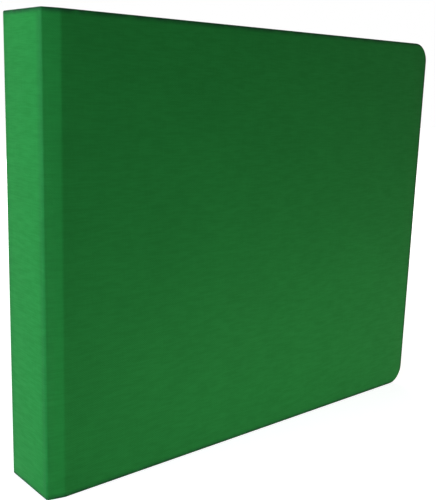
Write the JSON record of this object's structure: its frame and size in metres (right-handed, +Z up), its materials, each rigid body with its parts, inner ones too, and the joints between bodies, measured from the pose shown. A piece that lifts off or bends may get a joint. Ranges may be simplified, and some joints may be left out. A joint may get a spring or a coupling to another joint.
{
  "type": "stamp album",
  "caption": "Landscape loose-leaf stamp album: cloth-covered hinged boards round a ring mechanism that holds pocketed card leaves, standing closed on its lower edge.",
  "frame": {"origin": "centre of the closed album's bounding box, at its lower edge", "axes": "+X from the spine to the fore edge, +Y from the front cover to the back cover, +Z up"},
  "size_m": [0.3, 0.044, 0.25],
  "materials": {
    "book_cloth": "matte woven cloth",
    "lining_paper": "matte",
    "grey_board": "matte",
    "leaf_card": "matte",
    "pocket_film": "clear gloss",
    "nickel_steel": "bright nickel plate"
  },
  "bodies": {
    "spine": {"spine_board": "grey_board", "spine_cloth": "book_cloth", "spine_lining": "lining_paper", "ring_base_shell": "nickel_steel", "base_rivets": "nickel_steel", "lever_pins": "nickel_steel"},
    "front_hinge": {"front_hinge_board": "grey_board", "front_hinge_cloth": "book_cloth", "front_hinge_lining": "lining_paper"},
    "front_cover": {"front_cover_board": "grey_board", "front_cover_cloth": "book_cloth", "front_cover_lining": "lining_paper"},
    "front_ring_blade": {"front_blade": "nickel_steel", "front_half_ring_bottom": "nickel_steel", "front_half_ring_middle": "nickel_steel", "front_half_ring_top": "nickel_steel"},
    "back_hinge": {"back_hinge_board": "grey_board", "back_hinge_cloth": "book_cloth", "back_hinge_lining": "lining_paper"},
    "back_cover": {"back_cover_board": "grey_board", "back_cover_cloth": "book_cloth", "back_cover_lining": "lining_paper"},
    "back_ring_blade": {"back_blade": "nickel_steel", "back_half_ring_bottom": "nickel_steel", "back_half_ring_middle": "nickel_steel", "back_half_ring_top": "nickel_steel"},
    "top_lever": {"top_lever": "nickel_steel"},
    "bottom_lever": {"bottom_lever": "nickel_steel"},
    "leaf_1": {"leaf_1_card": "leaf_card", "leaf_1_pockets": "pocket_film"},
    "leaf_2": {"leaf_2_card": "leaf_card", "leaf_2_pockets": "pocket_film"},
    "leaf_3": {"leaf_3_card": "leaf_card", "leaf_3_pockets": "pocket_film"},
    "leaf_4": {"leaf_4_card": "leaf_card", "leaf_4_pockets": "pocket_film"},
    "leaf_5": {"leaf_5_card": "leaf_card", "leaf_5_pockets": "pocket_film"},
    "leaf_6": {"leaf_6_card": "leaf_card", "leaf_6_pockets": "pocket_film"},
    "leaf_7": {"leaf_7_card": "leaf_card", "leaf_7_pockets": "pocket_film"},
    "leaf_8": {"leaf_8_card": "leaf_card", "leaf_8_pockets": "pocket_film"}
  },
  "joints": [
    {"name": "front_cover_crease", "type": "hinge", "parent": "front_hinge", "child": "front_cover", "pos_m": [-0.1405, -0.022, 0.125], "axis": [0, 0, -1], "range_deg": [0, 90]},
    {"name": "front_spine_crease", "type": "hinge", "parent": "spine", "child": "front_hinge", "pos_m": [-0.15, -0.0195, 0.125], "axis": [0, 0, -1], "range_deg": [0, 90]},
    {"name": "front_blade_toggle", "type": "hinge", "parent": "spine", "child": "front_ring_blade", "pos_m": [-0.1443, -0.01, 0.125], "axis": [0, 0, -1], "range_deg": [0, 10]},
    {"name": "back_cover_crease", "type": "hinge", "parent": "back_hinge", "child": "back_cover", "pos_m": [-0.1405, 0.022, 0.125], "axis": [0, 0, 1], "range_deg": [0, 90]},
    {"name": "back_spine_crease", "type": "hinge", "parent": "spine", "child": "back_hinge", "pos_m": [-0.15, 0.0195, 0.125], "axis": [0, 0, 1], "range_deg": [0, 90]},
    {"name": "back_blade_toggle", "type": "hinge", "parent": "spine", "child": "back_ring_blade", "pos_m": [-0.1443, 0.01, 0.125], "axis": [0, 0, 1], "range_deg": [0, 10]},
    {"name": "top_lever_press", "type": "hinge", "parent": "spine", "child": "top_lever", "pos_m": [-0.1446, 0, 0.2315], "axis": [0, -1, 0], "range_deg": [0, 20]},
    {"name": "bottom_lever_press", "type": "hinge", "parent": "spine", "child": "bottom_lever", "pos_m": [-0.1446, 0, 0.0185], "axis": [0, 1, 0], "range_deg": [0, 20]},
    {"name": "leaf_1_turn", "type": "hinge", "parent": "spine", "child": "leaf_1", "pos_m": [-0.12975, 0, 0.125], "axis": [0, 0, -1], "range_deg": [0, 72]},
    {"name": "leaf_2_turn", "type": "hinge", "parent": "spine", "child": "leaf_2", "pos_m": [-0.12975, 0, 0.125], "axis": [0, 0, -1], "range_deg": [0, 63]},
    {"name": "leaf_3_turn", "type": "hinge", "parent": "spine", "child": "leaf_3", "pos_m": [-0.12975, 0, 0.125], "axis": [0, 0, -1], "range_deg": [0, 54]},
    {"name": "leaf_4_turn", "type": "hinge", "parent": "spine", "child": "leaf_4", "pos_m": [-0.12975, 0, 0.125], "axis": [0, 0, -1], "range_deg": [0, 45]},
    {"name": "leaf_5_turn", "type": "hinge", "parent": "spine", "child": "leaf_5", "pos_m": [-0.12975, 0, 0.125], "axis": [0, 0, -1], "range_deg": [0, 36]},
    {"name": "leaf_6_turn", "type": "hinge", "parent": "spine", "child": "leaf_6", "pos_m": [-0.12975, 0, 0.125], "axis": [0, 0, -1], "range_deg": [0, 27]},
    {"name": "leaf_7_turn", "type": "hinge", "parent": "spine", "child": "leaf_7", "pos_m": [-0.12975, 0, 0.125], "axis": [0, 0, -1], "range_deg": [0, 18]},
    {"name": "leaf_8_turn", "type": "hinge", "parent": "spine", "child": "leaf_8", "pos_m": [-0.12975, 0, 0.125], "axis": [0, 0, -1], "range_deg": [0, 9]}
  ],
  "couplings": [
    {"joint": "front_spine_crease", "follows": "front_cover_crease", "ratio": 1},
    {"joint": "back_spine_crease", "follows": "back_cover_crease", "ratio": 1},
    {"joint": "back_blade_toggle", "follows": "front_blade_toggle", "ratio": 1},
    {"joint": "top_lever_press", "follows": "front_blade_toggle", "ratio": 2},
    {"joint": "bottom_lever_press", "follows": "front_blade_toggle", "ratio": 2},
    {"joint": "leaf_1_turn", "follows": "front_cover_crease", "ratio": 0.8},
    {"joint": "leaf_2_turn", "follows": "front_cover_crease", "ratio": 0.7},
    {"joint": "leaf_3_turn", "follows": "front_cover_crease", "ratio": 0.6},
    {"joint": "leaf_4_turn", "follows": "front_cover_crease", "ratio": 0.5},
    {"joint": "leaf_5_turn", "follows": "front_cover_crease", "ratio": 0.4},
    {"joint": "leaf_6_turn", "follows": "front_cover_crease", "ratio": 0.3},
    {"joint": "leaf_7_turn", "follows": "front_cover_crease", "ratio": 0.2},
    {"joint": "leaf_8_turn", "follows": "front_cover_crease", "ratio": 0.1}
  ]
}
